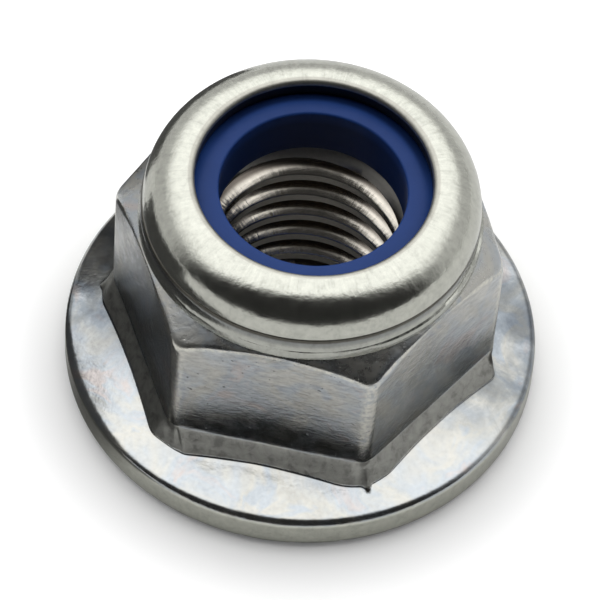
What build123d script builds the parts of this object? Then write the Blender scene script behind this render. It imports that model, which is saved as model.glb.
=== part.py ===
from build123d import *
import math
import os

# Prevailing-torque hexagon flange nut for an M8 thread: a forged steel body with a serrated
# bearing flange, and a nylon ring trapped under its rolled collar.
# Millimetres. The origin is the middle of the bearing face, and +Z runs up the thread axis
# to the collar. Two corners of the hexagon lie on the X axis.

total_height = 11.0

# thread and bore
thread_minor = 6.75  # crest diameter of the tapped hole, between the 6H limits
mouth_diameter = 8.7  # countersink in the bearing face
mouth_angle = 120.0  # included angle of that countersink
thread_end_diameter = 8.3  # countersink where the thread runs out under the ring
thread_end_angle = 90.0

# flange
flange_diameter = 17.8
flange_edge_height = 1.48  # where the sloped top would meet the upright edge
flange_edge_chamfer = 0.35  # under the edge, taller than the teeth are deep
flange_shoulder_round = 0.35
flange_slope = 15.0  # fall of the top face towards the edge, in degrees

# serrations in the bearing face
tooth_count = 30
tooth_ring_inside = 12.4  # the smooth bearing land lies inside this diameter
tooth_depth = 0.30  # at the flange's edge, tapering to nothing at the axis
tooth_land_share = 0.22  # share of the pitch that is flat crest
tooth_steep_share = 0.07  # share of the pitch taken by the side that resists loosening

# hexagon
across_flats = 12.8
corner_round = 0.6
chamfer_fall = 38.0  # fall of the chamfer over the corners, in degrees
foot_top = 2.85  # where the flats turn out into the foot
foot_slope = 65.0  # steepness of the foot, in degrees
foot_corner_round = 2.2

# collar
ring_step = 0.06  # the ring under the collar stands this far inside the flats
ring_height = 0.38
band_step = 0.08  # the plain band above it stands this far inside the ring
band_height = 0.48
groove_depth = 0.08
groove_height = 0.14
collar_step = 0.18  # the collar's outside stands this far inside the flats
dome_round = 1.55
collar_wall = 0.95
lip_reach = 0.32  # how far the rolled lip reaches inwards past the crest of the dome
lip_thickness = 0.62
lip_round = 0.20
lip_slope = 45.0  # of the lip's underside, which holds the ring down

# nylon ring
insert_bore = 6.9
insert_thickness = 2.15  # at its bore
insert_crown_drop = 0.10  # its top falls this much from the lip to the bore
insert_edge = 0.12

# radii and heights that follow from them
flange_radius = flange_diameter / 2
thread_radius = thread_minor / 2
mouth_radius = mouth_diameter / 2
thread_end_radius = thread_end_diameter / 2
ring_radius = across_flats / 2 - ring_step
band_radius = ring_radius - band_step
groove_radius = band_radius - groove_depth
collar_radius = across_flats / 2 - collar_step
dome_centre_radius = collar_radius - dome_round
dome_centre_height = total_height - dome_round
groove_bottom = dome_centre_height - groove_height
ring_top = groove_bottom - band_height
hexagon_top = ring_top - ring_height
pocket_radius = collar_radius - collar_wall
lip_radius = dome_centre_radius - lip_reach
lip_underside = total_height - lip_thickness
pocket_top = lip_underside - (pocket_radius - lip_radius) * math.tan(math.radians(lip_slope))
insert_radius = insert_bore / 2
insert_top = lip_underside - insert_crown_drop
pocket_floor = insert_top - insert_thickness


def cone_depth(wide, narrow, included_angle):
    """Depth of a countersink between two diameters."""
    return (wide - narrow) / 2 / math.tan(math.radians(included_angle / 2))


def flange_top(radius):
    """Height of the flange's sloping top face at a radius."""
    return flange_edge_height + (flange_radius - radius) * math.tan(math.radians(flange_slope))


def section(*edges):
    """A closed section drawn as radius and height."""
    return make_face(Wire([edge for run in edges for edge in run.edges()]))


def rounded(face, radius, height, rounding):
    """The section with the corner nearest to a point rounded."""
    return fillet(face.vertices().sort_by_distance((radius, height))[0], rounding)


def turned(face):
    """The solid that a section makes about the thread axis."""
    return revolve(Plane.XZ * face, Axis.Z)


def turned_body():
    """Flange, core and rolled collar in one turning, with the bore and the ring's pocket."""
    outline = section(
        Polyline(
            (mouth_radius, 0),
            (flange_radius - flange_edge_chamfer, 0),
            (flange_radius, flange_edge_chamfer),
            (flange_radius, flange_edge_height),
            (ring_radius, flange_top(ring_radius)),
            (ring_radius, ring_top),
            (band_radius, ring_top),
            (band_radius, groove_bottom),
            (groove_radius, groove_bottom),
            (groove_radius, dome_centre_height),
            (collar_radius, dome_centre_height),
        ),
        CenterArc((dome_centre_radius, dome_centre_height), dome_round, 0, 90),
        Polyline(
            (dome_centre_radius, total_height),
            (lip_radius, total_height),
            (lip_radius, lip_underside),
            (pocket_radius, pocket_top),
            (pocket_radius, pocket_floor),
            (thread_end_radius, pocket_floor),
            (thread_radius, pocket_floor - cone_depth(thread_end_diameter, thread_minor, thread_end_angle)),
            (thread_radius, cone_depth(mouth_diameter, thread_minor, mouth_angle)),
            (mouth_radius, 0),
        ),
    )
    outline = rounded(outline, flange_radius, flange_edge_height, flange_shoulder_round)
    outline = rounded(outline, lip_radius, total_height, lip_round)
    return turned(outline)


def hexagon_outline(flats, rounding, height):
    """A level hexagon with rounded corners, two of them on the X axis."""
    outline = RegularPolygon(flats / 2, 6, major_radius=False)
    return Pos(0, 0, height) * fillet(outline.vertices(), rounding)


def foot():
    """The flats' flared foot, sunk into the flange down to the height of its edge."""
    spread = (foot_top - flange_edge_height) / math.tan(math.radians(foot_slope))
    wide = hexagon_outline(across_flats + 2 * spread, foot_corner_round, flange_edge_height)
    narrow = hexagon_outline(across_flats, corner_round, foot_top)
    return loft([wide, narrow], ruled=True)


def hexagon():
    """The upright flats, with the chamfer that falls away over the corners."""
    flats = extrude(hexagon_outline(across_flats, corner_round, foot_top), hexagon_top - foot_top)
    reach = across_flats
    fall = (reach - ring_radius) * math.tan(math.radians(chamfer_fall))
    under_chamfer = section(
        Polyline(
            (0, foot_top),
            (0, hexagon_top),
            (ring_radius, hexagon_top),
            (reach, hexagon_top - fall),
            (reach, foot_top),
            (0, foot_top),
        )
    )
    return flats & turned(under_chamfer)


def core():
    """The round middle that the turned body fills, kept out of the hexagon."""
    return Cylinder((pocket_radius + ring_radius) / 2, 2 * total_height)


def tooth_gap(pitch):
    """The space between two crests: steep on one side, a long ramp on the other."""
    crest_end = pitch * tooth_land_share
    root = crest_end + pitch * tooth_steep_share
    below = -tooth_depth

    def across(radius):
        depth = tooth_depth * radius / flange_radius
        outline = Polyline(
            (radius * math.tan(crest_end), below),
            (radius * math.tan(crest_end), 0),
            (radius * math.tan(root), depth),
            (radius * math.tan(pitch), 0),
            (radius * math.tan(pitch), below),
            close=True,
        )
        return Plane((radius, 0, 0), x_dir=(0, 1, 0), z_dir=(1, 0, 0)) * make_face(outline)

    start = tooth_ring_inside / 2 * math.cos(pitch) / 2
    wedge = loft([across(start), across(flange_diameter)], ruled=True)
    smooth_land = Cylinder(tooth_ring_inside / 2, total_height)
    return wedge - smooth_land


def serrations():
    """Every gap between the teeth of the bearing face."""
    pitch = 2 * math.pi / tooth_count
    gap = tooth_gap(pitch)
    return [Rot(0, 0, math.degrees(pitch * step)) * gap for step in range(tooth_count)]


def nut_body():
    """The forged and tapped steel body."""
    body = turned_body() + (foot() + hexagon() - core())
    return body - serrations()


def nylon_insert():
    """The locking ring, which fills the pocket and shows inside the lip."""
    inner = insert_radius + insert_edge
    return turned(
        section(
            Polyline(
                (lip_radius, lip_underside),
                (inner, insert_top),
                (insert_radius, insert_top - insert_edge),
                (insert_radius, pocket_floor + insert_edge),
                (inner, pocket_floor),
                (pocket_radius, pocket_floor),
                (pocket_radius, pocket_top),
                close=True,
            )
        )
    )


os.makedirs("parts", exist_ok=True)
export_step(nut_body(), "parts/nut_body.step")
export_step(nylon_insert(), "parts/nylon_insert.step")
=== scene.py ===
import math
import bmesh
import bpy
from mathutils import Matrix, Vector, noise


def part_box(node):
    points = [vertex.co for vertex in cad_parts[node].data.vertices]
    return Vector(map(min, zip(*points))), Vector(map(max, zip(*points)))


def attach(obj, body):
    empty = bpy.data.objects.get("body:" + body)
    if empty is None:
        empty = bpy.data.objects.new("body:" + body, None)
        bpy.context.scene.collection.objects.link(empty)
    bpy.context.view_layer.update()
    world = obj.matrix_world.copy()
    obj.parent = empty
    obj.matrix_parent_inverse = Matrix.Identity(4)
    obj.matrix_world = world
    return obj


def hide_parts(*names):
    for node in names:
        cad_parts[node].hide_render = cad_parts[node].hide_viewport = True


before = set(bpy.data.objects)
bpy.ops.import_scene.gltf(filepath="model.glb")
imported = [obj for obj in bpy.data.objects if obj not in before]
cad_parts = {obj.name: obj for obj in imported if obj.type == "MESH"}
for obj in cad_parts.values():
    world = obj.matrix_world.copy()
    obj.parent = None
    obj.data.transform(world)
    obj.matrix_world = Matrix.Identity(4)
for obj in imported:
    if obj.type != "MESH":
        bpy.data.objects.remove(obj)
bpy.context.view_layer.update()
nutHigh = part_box("nut_body")[1]
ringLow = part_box("nylon_insert")[0]
perMetre = 1000.0  # pieces are drawn in millimetres and brought to metres when they are finished
mergeDistance = 0.0004
creaseAngle = 40.0
print("frame loaded:", ", ".join(sorted(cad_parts)))


def tangent(degrees):
    return math.tan(math.radians(degrees))


def onCircle(turn, radius, height):
    angle = 2 * math.pi * turn
    return Vector((radius * math.cos(angle), radius * math.sin(angle), height))


def bend(start, corner, end, share):
    # a point on the curve that leaves start towards corner and arrives at end
    return start.lerp(corner, share).lerp(corner.lerp(end, share), share)


def smoothStep(value, low, high):
    share = min(max((value - low) / (high - low), 0), 1)
    return share * share * (3 - 2 * share)


def finishPiece(bm, name, material):
    bmesh.ops.remove_doubles(bm, verts=bm.verts, dist=mergeDistance)
    bmesh.ops.recalc_face_normals(bm, faces=bm.faces)
    for face in bm.faces:
        face.smooth = True
    for edge in bm.edges:
        if len(edge.link_faces) == 2 and edge.calc_face_angle(0) > math.radians(creaseAngle):
            edge.smooth = False
    openEdges = sum(1 for edge in bm.edges if len(edge.link_faces) != 2)
    bmesh.ops.scale(bm, vec=Vector((1, 1, 1)) / perMetre, verts=bm.verts)
    mesh = bpy.data.meshes.new(name)
    bm.to_mesh(mesh)
    bm.free()
    mesh.materials.append(material)
    piece = bpy.data.objects.new(name, mesh)
    bpy.context.scene.collection.objects.link(piece)
    print(name, "has", len(mesh.polygons), "faces and", openEdges, "open edges")
    return piece


def addNode(tree, kind, values=None, **settings):
    made = tree.nodes.new(kind)
    for name, value in settings.items():
        setattr(made, name, value)
    for name, value in (values or {}).items():
        if isinstance(value, bpy.types.NodeSocket):
            tree.links.new(value, made.inputs[name])
        else:
            made.inputs[name].default_value = value
    return made


def addMath(tree, operation, first, second=0.0):
    return addNode(tree, "ShaderNodeMath", {0: first, 1: second}, operation=operation).outputs[0]


def addProduct(tree, first, *others):
    for other in others:
        first = addMath(tree, "MULTIPLY", first, other)
    return first


def addVector(tree, operation, first, second=None, scale=None):
    values = {0: first}
    if second is not None:
        values[1] = second
    if scale is not None:
        values["Scale"] = scale
    made = addNode(tree, "ShaderNodeVectorMath", values, operation=operation)
    measures = operation in ("LENGTH", "DISTANCE", "DOT_PRODUCT")
    return made.outputs["Value" if measures else "Vector"]


def addPoint(tree, x=0.0, y=0.0, z=0.0):
    return addNode(tree, "ShaderNodeCombineXYZ", {0: x, 1: y, 2: z}).outputs[0]


def addRamp(tree, factor, stops):
    ramp = addNode(tree, "ShaderNodeValToRGB", {"Fac": factor})
    while len(ramp.color_ramp.elements) < len(stops):
        ramp.color_ramp.elements.new(0.5)
    for element, (place, colour) in zip(ramp.color_ramp.elements, stops):
        element.position = place
        element.color = (*colour, 1)
    return ramp.outputs["Color"]


def addTones(tree, factor, stops):
    return addRamp(tree, factor, [(place, (tone,) * 3) for place, tone in stops])


def addNoise(tree, vector, scale, detail=3.0, roughness=0.55, distortion=0.0):
    values = {"Vector": vector, "Scale": scale, "Detail": detail}
    values.update({"Roughness": roughness, "Distortion": distortion})
    return addNode(tree, "ShaderNodeTexNoise", values).outputs["Fac"]


def addRange(tree, value, low, high, newLow=0.0, newHigh=1.0):
    values = {"Value": value, "From Min": low, "From Max": high, "To Min": newLow, "To Max": newHigh}
    made = addNode(tree, "ShaderNodeMapRange", values, interpolation_type="SMOOTHSTEP")
    return made.outputs["Result"]


def addMix(tree, factor, first, second, blend="MIX"):
    values = {0: factor, 6: first, 7: second}
    return addNode(tree, "ShaderNodeMix", values, data_type="RGBA", blend_type=blend).outputs[2]


def addTint(tree, mask, colour, tint):
    return addMix(tree, mask, colour, addMix(tree, 1.0, colour, tint, "MULTIPLY"))


def addBlend(tree, factor, first, second):
    return addNode(tree, "ShaderNodeMix", {0: factor, 2: first, 3: second}, data_type="FLOAT").outputs[0]


def addRelief(tree, shader, layers):
    # each layer is a texture, the mask that it shows through and its depth in metres
    relief = None
    for texture, mask, depth in layers:
        values = {"Height": addProduct(tree, texture, mask), "Strength": 1.0, "Distance": abs(depth)}
        if relief:
            values["Normal"] = relief
        relief = addNode(tree, "ShaderNodeBump", values, invert=depth < 0).outputs[0]
    tree.links.new(relief, shader.inputs["Normal"])


def newMaterial(name):
    material = bpy.data.materials.new(name)
    material.use_nodes = True
    tree = material.node_tree
    return material, tree, tree.nodes["Principled BSDF"]


def millimetres(tree):
    # object coordinates in millimetres, the distance from the thread's axis, and x, y and height
    coords = addNode(tree, "ShaderNodeTexCoord").outputs["Object"]
    scaled = addVector(tree, "SCALE", coords, scale=perMetre)
    parts = tuple(addNode(tree, "ShaderNodeSeparateXYZ", {0: scaled}).outputs)
    radius = addVector(tree, "LENGTH", addPoint(tree, *parts[:2]))
    return scaled, radius, parts


zinc = {
    "blue": (0.43, 0.46, 0.485),
    "plain": (0.475, 0.48, 0.465),
    "straw": (0.505, 0.497, 0.46),
    "rose": (0.49, 0.455, 0.44),
    "collar": (0.484, 0.489, 0.438),
    # worn rims, partly painted highlight
    "worn": (0.66, 0.645, 0.57),
    "edge": (0.62, 0.627, 0.548),
    "cutEdge": (0.42, 0.415, 0.37),
    "neckShade": (0.24, 0.248, 0.24),
    "foot": (0.34, 0.34, 0.315),
    "bore": (0.68, 0.64, 0.565),
    "crest": (0.40, 0.385, 0.345),
    # painted shade, partly grime, for the thread's roots
    "root": (0.16, 0.14, 0.12),
    # painted shade for the groove
    "groove": (0.12, 0.115, 0.10),
    "shadeAndGrime": (0.05, 0.047, 0.042),
    "stainAndShade": (0.33, 0.35, 0.38),
    "haze": (0.53, 0.55, 0.57),
    "pale": (0.88, 0.88, 0.88),
    # how strongly some of them lie over what is under them
    "zoneTone": 0.6,
    "lowShade": 0.3,
    "pit": 0.7,
    "ringShade": 0.3,
    "frontStain": 0.1,
    "rimWearAndHighlight": (0.1, 0.7),
    "roughness": (0.15, 0.24),
    "collarRoughness": (0.15, 0.22),
    "boreRoughness": (0.13, 0.21),
    "chamferRoughness": (0.23, 0.34),
    "crestRoughness": 0.17,
    "footRoughness": 0.42,
    # dark marks at the foot's corners: centre and radius in millimetres
    "marks": (
        ((3.93, -6.80, 1.78), 0.10),
        ((7.36, -0.30, 2.50), 0.28),
        ((-3.05, -6.85, 2.35), 0.12),
    ),
}

zones = {
    # where each finish fades in, from the first value to the second, in millimetres
    "outsideRadius": (5.6, 5.9),
    "overFlange": (0.04, 0.07),
    "onFlange": (0.07, 0.04),
    "flangeRadius": (6.3, 6.5),
    "flangeBack": (-4.6, -1.2),
    "edgeRadius": (8.84, 8.88),
    "edgeHeight": (1.4, 1.25),
    "footHeight": (2.88, 2.74),
    "lowShadeHeight": (5.0, 3.4),
    "flatHeight": (8.5, 8.4),
    "underChamfer": (-0.03, -0.09),
    "onChamfer": (-0.08, -0.03),
    "rimLow": (-0.17, -0.09),
    "rimHigh": (-0.02, -0.04),
    "cornerRadius": (7.17, 7.27),
    "ringHeight": (8.42, 8.5),
    "neckLow": (8.86, 9.3),
    "neckHigh": (9.40, 9.38),
    "grooveLow": (9.27, 9.37),
    "grooveHigh": (9.45, 9.42),
    "collarHeight": (8.4, 8.5),
    "lipRadius": (4.64, 4.56),
    "lipHeight": (8.6, 8.7),
    "insideLip": (10.84, 10.74),
    "boreRadius": (4.22, 4.12),
    "boreHeight": (8.2, 8.15),
    "rootRadius": (3.52, 3.78),
    "crestRadius": (3.42, 3.39),
    "runOutHeight": (7.15, 7.55),
}

patterns = {
    # scale, detail, roughness and distortion of each noise
    "grain": (5.5, 4, 0.62),
    "flecks": (6.0, 2, 0.5, 0.4),
    "satin": (1.6, 5, 0.65),
    "drift": (0.45, 3, 0.6, 0.8),
    "mottle": (2.4, 4, 0.62, 0.4),
    "clouds": (0.55, 5, 0.6, 0.5),
    "streaks": (1.0, 4, 0.66, 0.5),
    "strokes": (1.0, 4, 0.6),
    "threadLines": (1.0, 3, 0.6),
    "chatter": (1.0, 3, 0.6),
    "flangeSwell": (0.8, 2, 0.5),
    "flatSwell": (1.1, 2, 0.5),
    "collarSwell": (1.3, 3, 0.6, 0.5),
    # how the drawn ones are stretched
    "streakSkew": 0.12,
    "streakStretch": (2.1, 2.1, 6.4),
    "strokeCount": 46.0,
    "strokeRise": 5.0,
    "threadTurn": 0.11,
    "threadRise": 24.0,
    "chatterScale": 0.3,
    # where a noise turns into a shade: its value, and the shade there
    "grainTones": ((0.30, 0.90), (0.48, 1.0), (0.70, 1.08)),
    "scuffTones": ((0.36, 0.84), (0.48, 0.98), (0.62, 1.07)),
    "streakTones": ((0.32, 0.77), (0.5, 0.97), (0.68, 1.17)),
    "footTones": ((0.34, 0.68), (0.48, 1.0), (0.66, 1.2)),
    "pitLimits": (0.71, 0.77),
    "wearLimits": (0.38, 0.6),
    "satinLimits": (0.3, 0.7),
    "scuffBlend": 0.6,
    "markGrain": 0.25,
    "markFade": (0.2, 0.05),
}


def zincFinish():
    material, tree, shader = newMaterial("zincPlate")
    place, radius, (x, y, height) = millimetres(tree)
    turn = addMath(tree, "ARCTAN2", y, x)

    def zone(value, name, *limits):
        return addRange(tree, value, *zones[name], *limits)

    def pattern(vector, name):
        return addNoise(tree, vector, *patterns[name])

    def either(first, second):
        return addMath(tree, "MAXIMUM", first, second)

    fromEdge = addMath(tree, "SUBTRACT", nut["flangeRadius"], radius)
    fall = addProduct(tree, fromEdge, tangent(nut["topSlope"]))
    aboveFlange = addMath(tree, "SUBTRACT", height, addMath(tree, "ADD", fall, nut["edgeHeight"]))
    fromRing = addMath(tree, "SUBTRACT", radius, nut["ringRadius"])
    chamferFall = addProduct(tree, fromRing, tangent(nut["chamferFall"]))
    overChamfer = addMath(tree, "ADD", height, chamferFall)
    overChamfer = addMath(tree, "SUBTRACT", overChamfer, nut["hexagonTop"])

    outside = zone(radius, "outsideRadius")
    onTop = addProduct(tree, zone(aboveFlange, "onFlange"), zone(radius, "flangeRadius"))
    onEdge = addProduct(tree, zone(radius, "edgeRadius"), zone(height, "edgeHeight"))
    onFlat = addProduct(tree, zone(aboveFlange, "overFlange"), zone(height, "flatHeight"), outside)
    onFoot = addProduct(tree, onFlat, zone(height, "footHeight"))
    onSide = addProduct(tree, onFlat, zone(overChamfer, "underChamfer"))
    onChamfer = addProduct(tree, onFlat, zone(overChamfer, "onChamfer"))
    # worn rims at the chamfer's lower edge and at the corners, partly painted highlight
    wornRimAndHighlight = addProduct(tree, zone(overChamfer, "rimLow"), zone(overChamfer, "rimHigh"))
    wornRimAndHighlight = addProduct(tree, either(wornRimAndHighlight, zone(radius, "cornerRadius")), onFlat)
    # painted shade under the collar: full over the band, fainter over the ring
    shadeUnderCollar = either(zone(height, "ringHeight", 0.0, zinc["ringShade"]), zone(height, "neckLow"))
    shadeUnderCollar = addProduct(tree, shadeUnderCollar, zone(height, "neckHigh"), outside)
    # painted shade in the groove over the band
    inGroove = addProduct(tree, zone(height, "grooveLow"), zone(height, "grooveHigh"))
    onCollar = zone(height, "collarHeight")
    onLip = addProduct(tree, zone(radius, "lipRadius"), zone(height, "lipHeight"))
    # painted shade on the lip's inner face and underside
    inLip = addProduct(tree, zone(height, "insideLip"), onLip)
    inBore = addProduct(tree, zone(radius, "boreRadius"), zone(height, "boreHeight"))
    notBore = addMath(tree, "SUBTRACT", 1.0, inBore)
    # painted shade, partly grime, deep in the thread's roots
    inRoot = addProduct(tree, zone(radius, "rootRadius"), inBore)
    onFlank = addMath(tree, "SUBTRACT", inBore, inRoot)
    onCrest = addProduct(tree, zone(radius, "crestRadius"), inBore)
    runOut = addProduct(tree, zone(height, "runOutHeight"), inBore)

    # streaks along the flats, a little out of level
    values = {"Vector": place, "Angle": patterns["streakSkew"]}
    skewed = addNode(tree, "ShaderNodeVectorRotate", values, rotation_type="X_AXIS").outputs[0]
    streaks = pattern(addVector(tree, "MULTIPLY", skewed, patterns["streakStretch"]), "streaks")
    # short strokes up the rolled collar, and lines and chatter along the thread
    around = addPoint(tree, addMath(tree, "COSINE", turn), addMath(tree, "SINE", turn))
    around = addVector(tree, "SCALE", around, scale=patterns["strokeCount"])
    strokesAt = addPoint(tree, z=addProduct(tree, height, patterns["strokeRise"]))
    strokesAt = addVector(tree, "ADD", around, strokesAt)
    strokes = pattern(strokesAt, "strokes")
    wound = addVector(tree, "SCALE", around, scale=patterns["threadTurn"])
    steps = addPoint(tree, z=addProduct(tree, height, patterns["threadRise"]))
    threadLines = pattern(addVector(tree, "ADD", wound, steps), "threadLines")
    chatter = pattern(addVector(tree, "SCALE", strokesAt, scale=patterns["chatterScale"]), "chatter")
    grain = pattern(place, "grain")
    mottle = pattern(place, "mottle")
    satin = pattern(place, "satin")
    pits = addProduct(tree, addRange(tree, pattern(place, "flecks"), *patterns["pitLimits"]), onFlat)

    # thin colours of the passivation drift over the faces, with stains and painted shade on the flange,
    # faint at the front and full towards the back
    colour = addRamp(tree, pattern(place, "drift"), [
        (0.33, zinc["rose"]), (0.42, zinc["blue"]), (0.52, zinc["plain"]), (0.60, zinc["straw"]),
        (0.68, zinc["blue"])])
    clouds = pattern(place, "clouds")
    stainAndShade = addRamp(tree, clouds, [(0.34, zinc["stainAndShade"]), (0.5, zinc["haze"]), (0.66, zinc["pale"])])
    stainedAndShaded = addProduct(tree, onTop, zone(y, "flangeBack", zinc["frontStain"], 1.0))
    colour = addTint(tree, stainedAndShaded, colour, stainAndShade)
    tone = addTones(tree, grain, patterns["grainTones"])
    colour = addMix(tree, zinc["zoneTone"], colour, tone, "MULTIPLY")
    colour = addTint(tree, onSide, colour, addTones(tree, streaks, patterns["streakTones"]))
    # painted shade on the lower part of the flats, darker towards the foot, and the dark pits
    lowShadeAndPits = addProduct(tree, onSide, zone(height, "lowShadeHeight", 0.0, zinc["lowShade"]))
    lowShadeAndPits = either(lowShadeAndPits, addProduct(tree, pits, zinc["pit"]))
    colour = addMix(tree, lowShadeAndPits, colour, (*zinc["shadeAndGrime"], 1))

    # then each zone's own colour, with painted shade under the collar, in the groove, in the thread's roots
    # and inside the lip, and a painted highlight on the worn rims; then its scuffs and the marks at the foot
    wornRimAndHighlight = addProduct(tree, wornRimAndHighlight, addRange(tree, grain, *patterns["wearLimits"], *zinc["rimWearAndHighlight"]))
    for mask, name in (
            (wornRimAndHighlight, "worn"), (onCollar, "collar"), (onEdge, "edge"), (onFoot, "foot"), (inBore, "bore"),
            (inRoot, "root"), (onCrest, "crest"), (runOut, "crest"), (onLip, "cutEdge"),
            (inLip, "shadeAndGrime"), (shadeUnderCollar, "neckShade"), (inGroove, "groove")):
        zoned = addMix(tree, zinc["zoneTone"], (*zinc[name], 1), tone, "MULTIPLY")
        colour = addMix(tree, mask, colour, zoned)
    worn = addBlend(tree, patterns["scuffBlend"], strokes, mottle)
    scuffs = addTones(tree, worn, patterns["scuffTones"])
    colour = addTint(tree, either(onCollar, onEdge), colour, scuffs)
    colour = addTint(tree, onFoot, colour, addTones(tree, mottle, patterns["footTones"]))
    far, near = patterns["markFade"]
    for centre, size in zinc["marks"]:
        apart = addVector(tree, "DISTANCE", place, centre)
        apart = addMath(tree, "ADD", apart, addProduct(tree, grain, patterns["markGrain"]))
        marked = addRange(tree, apart, size + far, size + near)
        colour = addMix(tree, marked, colour, (*zinc["shadeAndGrime"], 1))
    tree.links.new(colour, shader.inputs["Base Color"])
    shader.inputs["Metallic"].default_value = 1.0

    roughness = addRange(tree, satin, *patterns["satinLimits"], *zinc["roughness"])
    for mask, name in (
            (onCollar, "collarRoughness"), (inBore, "boreRoughness"), (onChamfer, "chamferRoughness")):
        other = addRange(tree, satin, *patterns["satinLimits"], *zinc[name])
        roughness = addBlend(tree, mask, roughness, other)
    roughness = addBlend(tree, onCrest, roughness, zinc["crestRoughness"])
    rough = either(either(onFoot, onLip), either(inGroove, runOut))
    roughness = addBlend(tree, rough, roughness, zinc["footRoughness"])
    tree.links.new(roughness, shader.inputs["Roughness"])

    addRelief(tree, shader, (
        (pattern(place, "flangeSwell"), onTop, 2.5e-5),
        (pattern(place, "flatSwell"), onFlat, 9.0e-6),
        (streaks, onSide, 5.2e-6),
        (pattern(place, "collarSwell"), onCollar, 1.3e-5),
        (mottle, onCollar, 8.0e-6),
        (strokes, onCollar, 1.6e-6),
        (mottle, onFoot, 1.5e-5),
        (mottle, onChamfer, 1.2e-5),
        (mottle, onEdge, 1.2e-5),
        (grain, notBore, 5.5e-6),
        (pits, notBore, -9.0e-6),
        (threadLines, onFlank, 3.0e-6),
        (chatter, onFlank, 1.2e-5),
    ))
    return material


nylon = {
    "colour": (0.019, 0.056, 0.225),
    "deep": (0.013, 0.042, 0.17),
    "paintedShade": (0.003, 0.010, 0.045),
    # how strongly the painted shade lies over it down the bore and the painted shadow along the lip, and
    # where, in millimetres
    "boreShade": 0.6,
    "boreRadius": (3.5, 3.455),
    "boreHeight": (10.1, 9.6),
    "lipShade": 0.8,
    "lipRadius": (3.95, 4.2),
    "lipBack": (0.5, 3.0),
    "roughness": 0.4,
    "gloss": 0.14,
    "cloud": (0.9, 4),
    "swirls": (2.2, 3),
    "swirlStretch": (1.0, 1.0, 0.4),
    "grain": (7.0, 3),
}


def nylonFinish():
    material, tree, shader = newMaterial("blueNylon")
    place, radius, parts = millimetres(tree)
    behind, height = parts[1:]
    cloud = addNoise(tree, place, *nylon["cloud"])
    colour = addMix(tree, cloud, (*nylon["deep"], 1), (*nylon["colour"], 1))
    # painted shade down its bore, and a painted shadow of the lip at the back along it
    inHole = addRange(tree, radius, *nylon["boreRadius"])
    inHole = addProduct(tree, inHole, addRange(tree, height, *nylon["boreHeight"]), nylon["boreShade"])
    atLip = addRange(tree, radius, *nylon["lipRadius"])
    atLip = addProduct(tree, atLip, addRange(tree, behind, *nylon["lipBack"]), nylon["lipShade"])
    colour = addMix(tree, addMath(tree, "MAXIMUM", inHole, atLip), colour, (*nylon["paintedShade"], 1))
    tree.links.new(colour, shader.inputs["Base Color"])
    shader.inputs["Roughness"].default_value = nylon["roughness"]
    shader.inputs["Specular IOR Level"].default_value = nylon["gloss"]
    swirls = addVector(tree, "MULTIPLY", place, nylon["swirlStretch"])
    addRelief(tree, shader, (
        (addNoise(tree, swirls, *nylon["swirls"]), 1.0, 6e-6),
        (addNoise(tree, place, *nylon["grain"]), 1.0, 2e-6),
    ))
    return material


nut = {
    "columns": 360,  # points around the axis, the same number on every side and tooth
    "flangeRadius": nutHigh.x * perMetre,
    "height": nutHigh.z * perMetre,
    "acrossFlats": 12.8,
    "cornerRound": 0.6,
    "cornerColumns": 8,
    "chamferFall": 38.0,
    "chamferSoftness": 0.26,
    "topSlope": 15.0,
    "edgeHeight": 1.48,
    "edgeRound": 0.42,
    "shoulderRound": 0.35,
    "footTop": 2.85,
    "footSlope": 62.0,
    "footCornerRound": 2.2,
    "footSoftness": 0.02,
    "footBend": 0.11,
    "footDip": 0.35,
    "ringStep": 0.06,
    "ringHeight": 0.38,
    "bandStep": 0.08,
    "bandHeight": 0.48,
    "bandShift": 0.045,  # how far the band runs out of true, and towards which side
    "bandTurn": -135.0,
    "bandWander": (0.012, 0.016),  # its waviness outwards and upwards
    "grooveHeight": 0.14,
    "grooveFade": 0.38,  # how much shallower it is a quarter turn away from bandTurn
    # how far the band and its groove stand in, and how high over the groove's bottom
    "grooveRows": ((0.0, -0.18), (0.01, -0.08), (0.024, -0.01), (0.045, 0.045), (0.07, 0.08), (0.07, 0.105)),
    "collarStep": 0.18,
    "collarRound": 0.06,
    "domeRound": 1.55,
    "lipReach": 0.32,
    "lipRound": 0.2,
    "lipThickness": 0.62,
    "collarWall": 0.95,
    # the slow waviness of the forged faces, and the heights and radii over which it fades in and out
    "unevenness": 0.016,
    "unevenSeed": 5,
    "unevenScale": 0.7,
    "unevenLow": (1.52, 1.75),
    "unevenHigh": (8.2, 8.45),
    "unevenRadii": (5.9, 6.0),
}
scarCore = 0.15  # share of a scar's width that has its full depth
# what forging left at the foot's corners, counted from +X: a burr, blunt ends and small pits.
# Each is centred on a column beside its corner, and pushes the foot's edge out or in, or dents its face
footScars = (
    {"corner": 5, "column": 0.2, "width": 1.7, "push": 0.27, "dent": 0.05},
    {"corner": 5, "column": 5, "width": 5, "push": -0.07, "dent": -0.02},
    {"corner": 5, "column": -5, "width": 6, "push": -0.05, "dent": 0.03},
    {"corner": 0, "column": 5, "width": 13, "push": -0.8, "dent": 0.0},
    {"corner": 0, "column": -2.5, "width": 2.2, "push": 0.04, "dent": 0.22},
    {"corner": 4, "column": 1, "width": 8, "push": -0.12, "dent": 0.0},
    {"corner": 4, "column": 6, "width": 1.8, "push": 0.03, "dent": 0.14},
    {"corner": 3, "column": 1, "width": 1.8, "push": 0.12, "dent": 0.0},
    {"corner": 3, "column": -5, "width": 6, "push": -0.16, "dent": 0.08},
    {"corner": 3, "column": 5, "width": 4, "push": -0.06, "dent": 0.0},
)
nut["ringRadius"] = nut["acrossFlats"] / 2 - nut["ringStep"]
nut["bandRadius"] = nut["ringRadius"] - nut["bandStep"]
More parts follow.
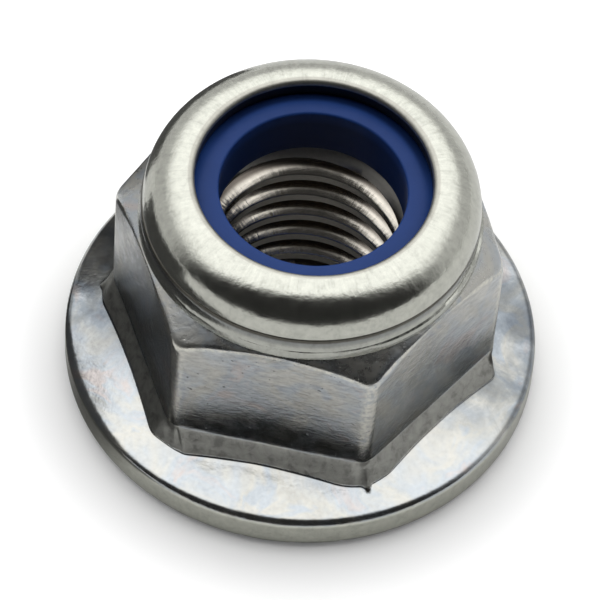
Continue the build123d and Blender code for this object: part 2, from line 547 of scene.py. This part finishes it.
nut["collarRadius"] = nut["acrossFlats"] / 2 - nut["collarStep"]
nut["domeRadius"] = nut["collarRadius"] - nut["domeRound"]  # of the circle that the dome's centre follows
nut["domeHeight"] = nut["height"] - nut["domeRound"]
nut["grooveBottom"] = nut["domeHeight"] - nut["grooveHeight"]
nut["ringTop"] = nut["grooveBottom"] - nut["bandHeight"]
nut["hexagonTop"] = nut["ringTop"] - nut["ringHeight"]
nut["lipRadius"] = nut["domeRadius"] - nut["lipReach"]
nut["lipUnderside"] = nut["height"] - nut["lipThickness"]
nut["pocketRadius"] = nut["collarRadius"] - nut["collarWall"]
nut["pocketTop"] = nut["lipUnderside"] - (nut["pocketRadius"] - nut["lipRadius"])
nut["pocketFloor"] = ringLow.z * perMetre

teeth = {
    "count": 30,
    "depth": 0.30,
    "inside": 6.2,
    "land": 0.22,
    "steep": 0.07,
    # where the twelve columns of a tooth stand, as shares of its pitch: close together at its edges
    "columns": (0.0, 0.10, 0.20, 0.225, 0.25, 0.283, 0.305, 0.42, 0.56, 0.70, 0.84, 0.96),
    # and where its rows stand, closest where the flange's lower edge rounds off
    "rows": (6.22, 6.28, 6.9, 7.6, 8.2, 8.42, 8.5, 8.57, 8.63, 8.69, 8.75, 8.8, 8.84, 8.87, 8.89, 8.9),
}

thread = {
    "pitch": 1.25,
    "minorRadius": 3.375,
    "majorRadius": 4.0,
    "rootFlat": 0.156,
    "softness": 0.03,
    "phase": 0.47,
    "hollow": 0.045,
    "mouthRadius": 4.35,
    "mouthSlope": 60.0,
    "endRadius": 4.15,
    "endSlope": 45.0,
}


def hexagonPoint(column, acrossFlats, rounding, height):
    # corners at every sixtieth column, the first on +X; each side has its columns closest at the corners
    side, step = divmod(column, 60)
    fromCorner = min(step, 60 - step)
    inset = acrossFlats / 2 - rounding
    if fromCorner <= nut["cornerColumns"]:
        lean = math.radians(30 * (1 - fromCorner / nut["cornerColumns"]))
        outward = inset + rounding * math.cos(lean)
        along = inset * tangent(30) + rounding * math.sin(lean)
    else:
        outward = acrossFlats / 2
        along = inset * tangent(30) * (1 - (fromCorner - nut["cornerColumns"]) / (30 - nut["cornerColumns"]))
    if step < 30:
        along = -along
    facing = math.radians(60 * side + 30)
    x = outward * math.cos(facing) - along * math.sin(facing)
    y = outward * math.sin(facing) + along * math.cos(facing)
    return Vector((x, y, height))


def flangeTop(radius):
    return nut["edgeHeight"] + (nut["flangeRadius"] - radius) * tangent(nut["topSlope"])


def footPoint(column, share):
    # 0 at the foot's top edge, 1 where it would reach the height of the flange's edge
    corner, step = divmod(column + 30, 60)
    beside = step - 30
    dip = nut["footDip"] * (1 - smoothStep(abs(beside), 0, nut["cornerColumns"] + 2))
    spread = (nut["footTop"] - nut["edgeHeight"]) / tangent(nut["footSlope"])
    top = hexagonPoint(column, nut["acrossFlats"], nut["cornerRound"], nut["footTop"] - dip)
    low = hexagonPoint(column, nut["acrossFlats"] + 2 * spread, nut["footCornerRound"], nut["edgeHeight"])
    for scar in footScars:
        if scar["corner"] == corner % 6:
            apart = abs(beside - scar["column"])
            near = 1 - smoothStep(apart, scarCore * scar["width"], scar["width"])
            low.xy += low.xy.normalized() * (scar["push"] * near)
            top.xy -= top.xy.normalized() * (scar["dent"] * near * 4 * share * (1 - share))
    return top.lerp(low, share)


def footReach(column):
    # the share of the foot's slope that stands clear of the flange
    low, high = 0.0, 1.0
    for halving in range(24):
        middle = (low + high) / 2
        point = footPoint(column, middle)
        if point.z > flangeTop(point.xy.length):
            low = middle
        else:
            high = middle
    return low


def onFlange(point):
    return Vector((point.x, point.y, flangeTop(point.xy.length)))


def toothPoint(column, radius):
    tooth, step = divmod(column, 12)
    share = teeth["columns"][step]
    if share <= teeth["land"]:
        depth = 0.0
    elif share <= teeth["land"] + teeth["steep"]:
        depth = (share - teeth["land"]) / teeth["steep"]
    else:
        depth = (1 - share) / (1 - teeth["land"] - teeth["steep"])
    depth *= teeth["depth"] * radius / nut["flangeRadius"]
    fromEdge = radius - (nut["flangeRadius"] - nut["edgeRound"])
    rise = 0.0
    if fromEdge > 0:
        rise = nut["edgeRound"] - math.sqrt(max(nut["edgeRound"] ** 2 - fromEdge**2, 0))
    return onCircle((tooth + share) / teeth["count"], radius, max(depth, rise))


def chamferPoint(column, radius):
    # on the cone that cuts the hexagon's top corners, from the flats' outline in to the ring
    outline = hexagonPoint(column, nut["acrossFlats"], nut["cornerRound"], 0)
    reach = outline.xy.length - nut["ringRadius"]
    share = (radius - nut["ringRadius"]) / reach
    point = onCircle(column / nut["columns"], nut["ringRadius"], 0).lerp(outline, share)
    fall = (point.xy.length - nut["ringRadius"]) * tangent(nut["chamferFall"])
    return Vector((point.x, point.y, nut["hexagonTop"] - fall))


def bodyRows():
    # one function for each row of points, from the mouth of the bore out under the flange,
    # up the outside, over the collar and down into the ring's pocket
    rows = []

    def ring(radius, height):
        rows.append(lambda column: onCircle(column / nut["columns"], radius, height))

    def arc(radius, height, size, start, end, steps):
        for step in range(steps + 1):
            angle = math.radians(start + (end - start) * step / steps)
            ring(radius + size * math.cos(angle), height + size * math.sin(angle))

    ring(thread["mouthRadius"], 0)
    ring(thread["mouthRadius"] + 0.06, 0)
    ring((thread["mouthRadius"] + teeth["inside"]) / 2, 0)
    ring(teeth["inside"] - 0.12, 0)
    ring(teeth["inside"] - 0.05, 0)
    for radius in teeth["rows"]:
        rows.append(lambda column, radius=radius: toothPoint(column, radius))

    edge = nut["flangeRadius"]
    shoulder = nut["shoulderRound"]
    shoulderStart = nut["edgeHeight"] - shoulder * tangent((90 - nut["topSlope"]) / 2)
    for share in (0.2, 0.5, 0.8, 0.95):
        ring(edge, nut["edgeRound"] + (shoulderStart - nut["edgeRound"]) * share)
    arc(edge - shoulder, shoulderStart, shoulder, 0, 90 - nut["topSlope"], 8)

    reaches = [footReach(column) for column in range(nut["columns"])]
    coneStart = edge - shoulder + shoulder * math.sin(math.radians(nut["topSlope"]))

    def conePoint(column, share):
        start = onCircle(column / nut["columns"], coneStart, 0)
        return onFlange(start.lerp(footPoint(column, reaches[column]), share))

    def footCrease(column, share):
        corner = footPoint(column, reaches[column])
        before = conePoint(column, 1 - nut["footSoftness"])
        after = footPoint(column, max(reaches[column] - 2 * nut["footSoftness"], 0.1))
        return bend(before, corner, after, share)

    for share in (0.03, 0.1, 0.2, 0.32, 0.45, 0.58, 0.7, 0.8, 0.87):
        rows.append(lambda column, share=share: conePoint(column, share))
    for share in (0, 0.25, 0.5, 0.75, 1):
        rows.append(lambda column, share=share: footCrease(column, share))

    def footFace(column, share):
        start = max(reaches[column] - 2 * nut["footSoftness"], 0.1)
        return footPoint(column, start * (1 - share) + nut["footBend"] * share)

    def footTurn(column, share):
        flat = footPoint(column, 0)
        start = footPoint(column, nut["footBend"])
        return bend(start, flat, flat + Vector((0, 0, (flat - start).length)), share)

    for share in (0.2, 0.5, 0.8, 1):
        rows.append(lambda column, share=share: footFace(column, share))
    for share in (0.3, 0.6):
        rows.append(lambda column, share=share: footTurn(column, share))

    softness = nut["chamferSoftness"]

    def outline(column):
        point = hexagonPoint(column, nut["acrossFlats"], nut["cornerRound"], 0)
        reach = point.xy.length - nut["ringRadius"]
        edgeHeight = nut["hexagonTop"] - reach * tangent(nut["chamferFall"])
        return point, edgeHeight, min(softness, reach * 0.45)

    def flatPoint(column, share):
        point, edgeHeight, soft = outline(column)
        low = footTurn(column, 1).z
        point.z = low + (edgeHeight - soft - low) * share
        return point

    def chamferEdge(column, share):
        point, edgeHeight, soft = outline(column)
        corner = Vector((point.x, point.y, edgeHeight))
        start = corner - Vector((0, 0, soft))
        return bend(start, corner, chamferPoint(column, point.xy.length - soft), share)

    for share in (0, 0.04, 0.12, 0.25, 0.4, 0.55, 0.7, 0.84, 0.93, 0.975):
        rows.append(lambda column, share=share: flatPoint(column, share))
    for share in (0, 0.2, 0.4, 0.6, 0.8, 1):
        rows.append(lambda column, share=share: chamferEdge(column, share))

    def chamferFace(column, share):
        point, soft = outline(column)[::2]
        start = point.xy.length - soft
        return chamferPoint(column, start * (1 - share) + nut["ringRadius"] * share)

    for share in (0.12, 0.4, 0.7, 0.9):
        rows.append(lambda column, share=share: chamferFace(column, share))

    ringRadius, ringTop = nut["ringRadius"], nut["ringTop"]
    ring(ringRadius, nut["hexagonTop"])
    ring(ringRadius, nut["hexagonTop"] + 0.05)
    ring(ringRadius, ringTop - 0.08)

    outward, upward = nut["bandWander"]

    def wander(turn, size):
        return noise.noise(onCircle(turn, 5.0, 0)) * size

    def waist(inset, height):
        # the band runs a little out of true with the ring under it
        def place(column):
            turn = column / nut["columns"]
            lean = math.cos(2 * math.pi * turn - math.radians(nut["bandTurn"]))
            shift = nut["bandShift"] * lean
            fade = 1 - nut["grooveFade"] + nut["grooveFade"] * lean
            radius = nut["bandRadius"] + shift - inset * fade + wander(turn, outward)
            return onCircle(turn, radius, height + wander(turn, upward))

        rows.append(place)

    def ringEdge(column):
        turn = column / nut["columns"]
        return onCircle(turn, ringRadius - 0.008, ringTop - 0.05 + wander(turn + 0.3, 0.05))

    rows.append(ringEdge)
    waist(-0.02, ringTop + 0.005)
    waist(0, ringTop + 0.035)
    for inset, rise in nut["grooveRows"]:
        waist(inset, nut["grooveBottom"] + rise)
    rounding = nut["collarRound"]
    ring(nut["collarRadius"] - rounding, nut["domeHeight"] - 0.02)
    arc(nut["collarRadius"] - rounding, nut["domeHeight"] + 0.05, rounding, -70, 0, 4)
    arc(nut["domeRadius"], nut["domeHeight"], nut["domeRound"], 4, 90, 18)
    lip = nut["lipRadius"]
    ring(lip + nut["lipRound"] + 0.03, nut["height"])
    arc(lip + nut["lipRound"], nut["height"] - nut["lipRound"], nut["lipRound"], 90, 180, 7)
    ring(lip, nut["height"] - nut["lipRound"] - 0.1)
    ring(lip, nut["lipUnderside"] + 0.05)
    ring(lip + 0.01, nut["lipUnderside"] - 0.01)
    ring(nut["pocketRadius"] - 0.02, nut["pocketTop"] + 0.02)
    ring(nut["pocketRadius"], nut["pocketTop"] - 0.02)
    ring(nut["pocketRadius"], nut["pocketFloor"] + 0.02)
    ring(nut["pocketRadius"] - 0.02, nut["pocketFloor"])
    ring(thread["endRadius"], nut["pocketFloor"])
    return rows


def uneven(place):
    # on the hexagon and on the flange's top alone
    share = smoothStep(place.z, *nut["unevenLow"]) * (1 - smoothStep(place.z, *nut["unevenHigh"]))
    share *= smoothStep(place.xy.length, *nut["unevenRadii"])
    return noise.noise_vector(place * nut["unevenScale"]) * (nut["unevenness"] * share)


def addBodyShell(bm):
    noise.seed_set(nut["unevenSeed"])  # otherwise the clock sets it
    rows = bodyRows()
    rowOf = bm.verts.layers.int.new("row")
    profile = []
    for number, place in enumerate(rows):
        point = bm.verts.new(place(0))
        point[rowOf] = number
        profile.append(point)
    edges = [bm.edges.new(pair) for pair in zip(profile, profile[1:])]
    bmesh.ops.spin(bm, geom=profile + edges, cent=(0, 0, 0), axis=(0, 0, 1), angle=2 * math.pi,
                   steps=nut["columns"], use_merge=True, use_duplicate=False)
    for point in bm.verts:
        column = round(math.atan2(point.co.y, point.co.x) / (2 * math.pi) * nut["columns"]) % nut["columns"]
        point.co = rows[point[rowOf]](column)
        wander = uneven(point.co)
        point.co.xy += point.co.xy.normalized() * wander.x
        point.co.z += wander.z
    print("body shell:", len(rows), "rows of", nut["columns"])


def threadRadius(place):
    # the thread's section along the axis, 60 degrees between its flanks
    pitch = thread["pitch"]
    fromRoot = abs((place - thread["phase"] + pitch / 2) % pitch - pitch / 2)
    depth = thread["majorRadius"] - thread["minorRadius"]
    share = min(max((fromRoot - thread["rootFlat"] / 2) / tangent(30) / depth, 0), 1)
    return thread["majorRadius"] - depth * share + thread["hollow"] * 4 * share * (1 - share)


def addThread(bm):
    pitch, soft = thread["pitch"], thread["softness"]
    rootEdge = thread["rootFlat"] / 2
    crestEdge = rootEdge + (thread["majorRadius"] - thread["minorRadius"]) * tangent(30)
    flankWidth = crestEdge - rootEdge - 2 * soft
    flank = [rootEdge + soft + flankWidth * share for share in (0, 0.3, 0.65, 1)]
    stations = [0, rootEdge - soft, *flank, crestEdge + soft]
    stations += [pitch / 2] + [pitch - station for station in reversed(stations[1:])]
    turns = math.ceil(nut["pocketFloor"] / pitch) + 1
    profile = []
    for turn in range(-2, turns + 1):
        for station in stations:
            height = pitch * turn + station + thread["phase"]
            profile.append(bm.verts.new((threadRadius(height), 0, height)))
    edges = [bm.edges.new(pair) for pair in zip(profile, profile[1:])]
    bmesh.ops.spin(bm, geom=profile + edges, cent=(0, 0, 0), axis=(0, 0, 1), angle=2 * math.pi,
                   dvec=(0, 0, pitch / nut["columns"]), steps=nut["columns"],
                   use_merge=False, use_duplicate=False)
    # what runs past the ends is pressed onto them, and the countersinks widen the crests away
    for point in bm.verts:
        height = min(max(point.co.z, 0), nut["pocketFloor"])
        mouth = thread["mouthRadius"] - height * tangent(thread["mouthSlope"])
        end = thread["endRadius"] - (nut["pocketFloor"] - height) * tangent(thread["endSlope"])
        radius = max(point.co.xy.length, mouth, end)
        if point.co.z != height:
            radius = mouth if height == 0 else end
        point.co = Vector((*(point.co.xy.normalized() * radius), height))
    bmesh.ops.remove_doubles(bm, verts=bm.verts, dist=mergeDistance)


def buildNutBody(material):
    bore = bmesh.new()
    addThread(bore)
    boreMesh = bpy.data.meshes.new("bore")
    bore.to_mesh(boreMesh)
    bore.free()
    bm = bmesh.new()
    addBodyShell(bm)
    bm.from_mesh(boreMesh)
    bpy.data.meshes.remove(boreMesh)
    piece = finishPiece(bm, "nutBody", material)
    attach(piece, "root")
    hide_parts("nut_body")
    return piece


ringSizes = {
    "columns": 240,
    "boreRadius": 3.45,
    "edgeRound": 0.10,
    "crownDrop": 0.09,
    "touchRadius": 4.60,
    "shoulder": (4.15, 10.33),
}


def buildNylonRing(material):
    bm = bmesh.new()
    low, outer = nut["pocketFloor"], nut["pocketRadius"]
    bore, soft = ringSizes["boreRadius"], ringSizes["edgeRound"]
    top = nut["lipUnderside"] - ringSizes["crownDrop"]
    points = []
    # the lip bites into the ring's top, which bulges up out of it
    touch = ringSizes["touchRadius"]
    bite = Vector((touch, nut["lipUnderside"] - (touch - nut["lipRadius"])))
    shoulder = Vector(ringSizes["shoulder"])
    for step in range(13):
        points.append(tuple(bend(bite, shoulder, Vector((bore + soft, top)), step / 12)))
    for step in range(1, 7):
        angle = math.radians(90 + 90 * step / 6)
        points.append((bore + soft + soft * math.cos(angle), top - soft + soft * math.sin(angle)))
    for share in (0.05, 0.2, 0.4, 0.6, 0.8, 0.95):
        points.append((bore, top - soft + (low + 2 * soft - top) * share))
    for step in range(5):
        angle = math.radians(180 + 90 * step / 4)
        points.append((bore + soft + soft * math.cos(angle), low + soft + soft * math.sin(angle)))
    points += [(outer - 0.02, low), (outer, low + 0.02), (outer, nut["pocketTop"])]
    profile = [bm.verts.new((radius, 0, height)) for radius, height in points]
    edges = [bm.edges.new(pair) for pair in zip(profile, profile[1:] + profile[:1])]
    bmesh.ops.spin(bm, geom=profile + edges, cent=(0, 0, 0), axis=(0, 0, 1), angle=2 * math.pi,
                   steps=ringSizes["columns"], use_merge=True, use_duplicate=False)
    piece = finishPiece(bm, "nylonRing", material)
    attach(piece, "root")
    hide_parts("nylon_insert")
    return piece


camera = {
    "turn": 7.7,
    "raise": 54.24,
    "distance": 0.192,
    "lens": 307.0,
    "roll": 5.04,
    "aim": (-0.00013, 0.0, 0.00325),
}


def placeCamera():
    turn, lift = math.radians(camera["turn"]), math.radians(camera["raise"])
    back = Vector((math.sin(turn) * math.cos(lift), -math.cos(turn) * math.cos(lift), math.sin(lift)))
    data = bpy.data.cameras.new("camera")
    data.lens = camera["lens"]
    data.sensor_width = 36
    data.clip_start = 0.01
    data.clip_end = 10
    eye = bpy.data.objects.new("camera", data)
    bpy.context.scene.collection.objects.link(eye)
    roll = Matrix.Rotation(math.radians(camera["roll"]), 3, "Z")
    facing = (-back).to_track_quat("-Z", "Y").to_matrix() @ roll
    place = Vector(camera["aim"]) + back * camera["distance"]
    eye.matrix_world = Matrix.Translation(place) @ facing.to_4x4()
    bpy.context.scene.camera = eye


studio = {
    "floorSize": 3.0,
    "floorDrop": 0.00002,
    "floorColour": (0.92, 0.92, 0.92),
    "floorRoughness": 0.9,
    "floorGlow": (0.11, 0.42),
    "glowRadii": (0.0085, 0.0125),
    "mirroredGlow": 0.12,
    # mirror images see the floor darker beside the flange and in the gaps to the left of it
    "shade": 0.32,
    "shadeRadii": (0.0088, 0.0125),
    "gaps": (((-0.0128, -0.0080, 0.0), 0.0052, 0.0086), ((-0.0136, 0.0038, 0.0), 0.0018, 0.0036)),
    "gapShade": 0.93,
    "softbox": 1.85,
    # how far the softbox reaches across, towards the front and towards the back, for each unit of height
    "across": (1.75, 0.35),
    "front": (-0.34, 0.03),
    "back": (2.9, 0.9),
    "leftReach": 0.24,
    "wall": 0.72,
    "wallStart": (-0.42, 0.1),
    "room": 0.035,
}


def buildFloor():
    bm = bmesh.new()
    bmesh.ops.create_grid(bm, x_segments=1, y_segments=1, size=studio["floorSize"] / 2)
    mesh = bpy.data.meshes.new("floor")
    bm.to_mesh(mesh)
    bm.free()
    material, tree, shader = newMaterial("paper")
    shader.inputs["Roughness"].default_value = studio["floorRoughness"]
    shader.inputs["Specular IOR Level"].default_value = 0.0
    path = addNode(tree, "ShaderNodeLightPath").outputs
    mirrored = addMath(tree, "ADD", path["Is Glossy Ray"], path["Is Transmission Ray"])
    mirrorGlow = addProduct(tree, mirrored, studio["mirroredGlow"])
    seen = addMath(tree, "ADD", path["Is Camera Ray"], mirrorGlow)
    place = addNode(tree, "ShaderNodeTexCoord").outputs["Object"]
    fromNut = addVector(tree, "LENGTH", place)
    glow = addRange(tree, fromNut, *studio["glowRadii"], *studio["floorGlow"])
    shader.inputs["Emission Color"].default_value = (1, 1, 1, 1)
    tree.links.new(addProduct(tree, seen, glow), shader.inputs["Emission Strength"])
    shade = addRange(tree, fromNut, *studio["shadeRadii"], studio["shade"], 0.0)
    for gap, near, far in studio["gaps"]:
        apart = addVector(tree, "DISTANCE", place, gap)
        inGap = addRange(tree, apart, near, far, studio["gapShade"], 0.0)
        shade = addMath(tree, "MAXIMUM", shade, inGap)
    shade = addProduct(tree, shade, mirrored)
    paper = addMix(tree, shade, (*studio["floorColour"], 1), (0, 0, 0, 1))
    tree.links.new(paper, shader.inputs["Base Color"])
    mesh.materials.append(material)
    floor = bpy.data.objects.new("floor", mesh)
    floor.location.z = -studio["floorDrop"]
    bpy.context.scene.collection.objects.link(floor)


flags = {
    # glowing stepped posts beside and behind the nut, which only its reflections see, so they paint dark and
    # pale reflections: radius and height of the foot and of the post on it, and how bright each of them is.
    # The second one's foot is white
    "foot": (0.0088, 0.0014),
    "post": (0.0066, 0.0092),
    "distance": 0.0182,
    "turns": (-96.3, -38.3),
    "tones": ((0.07, 0.07), (1.0, 0.085)),
}


def placeFlags():
    for number, (side, tones) in enumerate(zip(flags["turns"], flags["tones"])):
        angle = math.radians(90 + camera["turn"] - side)
        bm = bmesh.new()
        for slot, (radius, height) in enumerate((flags["foot"], flags["post"])):
            made = bmesh.ops.create_cone(
                bm, cap_ends=True, segments=48, radius1=radius, radius2=radius, depth=height,
                matrix=Matrix.Translation((0, 0, height / 2)))
            for face in {face for point in made["verts"] for face in point.link_faces}:
                face.material_index = slot
        mesh = bpy.data.meshes.new("flag%d" % (number + 1))
        bm.to_mesh(mesh)
        bm.free()
        for tone in tones:
            material, tree, shader = newMaterial("flagCloth")
            tree.nodes.remove(shader)
            light = addNode(tree, "ShaderNodeEmission", {"Color": (1, 1, 1, 1), "Strength": tone})
            tree.links.new(light.outputs[0], tree.nodes["Material Output"].inputs["Surface"])
            mesh.materials.append(material)
        card = bpy.data.objects.new(mesh.name, mesh)
        card.location = (flags["distance"] * math.cos(angle), flags["distance"] * math.sin(angle), 0)
        card.visible_camera = False
        card.visible_diffuse = False
        card.visible_shadow = False
        bpy.context.scene.collection.objects.link(card)


def lightStudio():
    # a large softbox overhead that reaches far back, pale walls behind and beside, a dark room in front
    world = bpy.data.worlds.new("studio")
    world.use_nodes = True
    bpy.context.scene.world = world
    tree = world.node_tree
    background = tree.nodes["Background"]
    direction = addNode(tree, "ShaderNodeTexCoord").outputs["Generated"]
    turn = math.radians(camera["turn"])
    ahead = addVector(tree, "DOT_PRODUCT", direction, (-math.sin(turn), math.cos(turn), 0.0))
    aside = addVector(tree, "DOT_PRODUCT", direction, (math.cos(turn), math.sin(turn), 0.0))
    up = addNode(tree, "ShaderNodeSeparateXYZ", {0: direction}).outputs[2]
    above = addMath(tree, "MAXIMUM", up, 0.001)
    across = addMath(tree, "ABSOLUTE", addMath(tree, "DIVIDE", aside, above))
    along = addMath(tree, "DIVIDE", ahead, above)
    leftward = addMath(tree, "DIVIDE", addProduct(tree, aside, -1.0), above)
    leftward = addMath(tree, "MAXIMUM", leftward, 0.0)
    nearer = addMath(tree, "ADD", along, addProduct(tree, leftward, studio["leftReach"]))
    box = addProduct(
        tree,
        addRange(tree, across, *studio["across"]),
        addRange(tree, nearer, *studio["front"]),
        addRange(tree, along, *studio["back"]),
    )
    wall = addRange(tree, ahead, *studio["wallStart"], studio["room"], studio["wall"])
    strength = addBlend(tree, box, wall, studio["softbox"])
    tree.links.new(strength, background.inputs["Strength"])
    background.inputs["Color"].default_value = (1, 1, 1, 1)


steel = zincFinish()
blue = nylonFinish()
print("finishes mixed")
buildNutBody(steel)
buildNylonRing(blue)
placeCamera()
buildFloor()
placeFlags()
lightStudio()
bpy.context.scene.view_settings.view_transform = "Standard"
print("studio set")
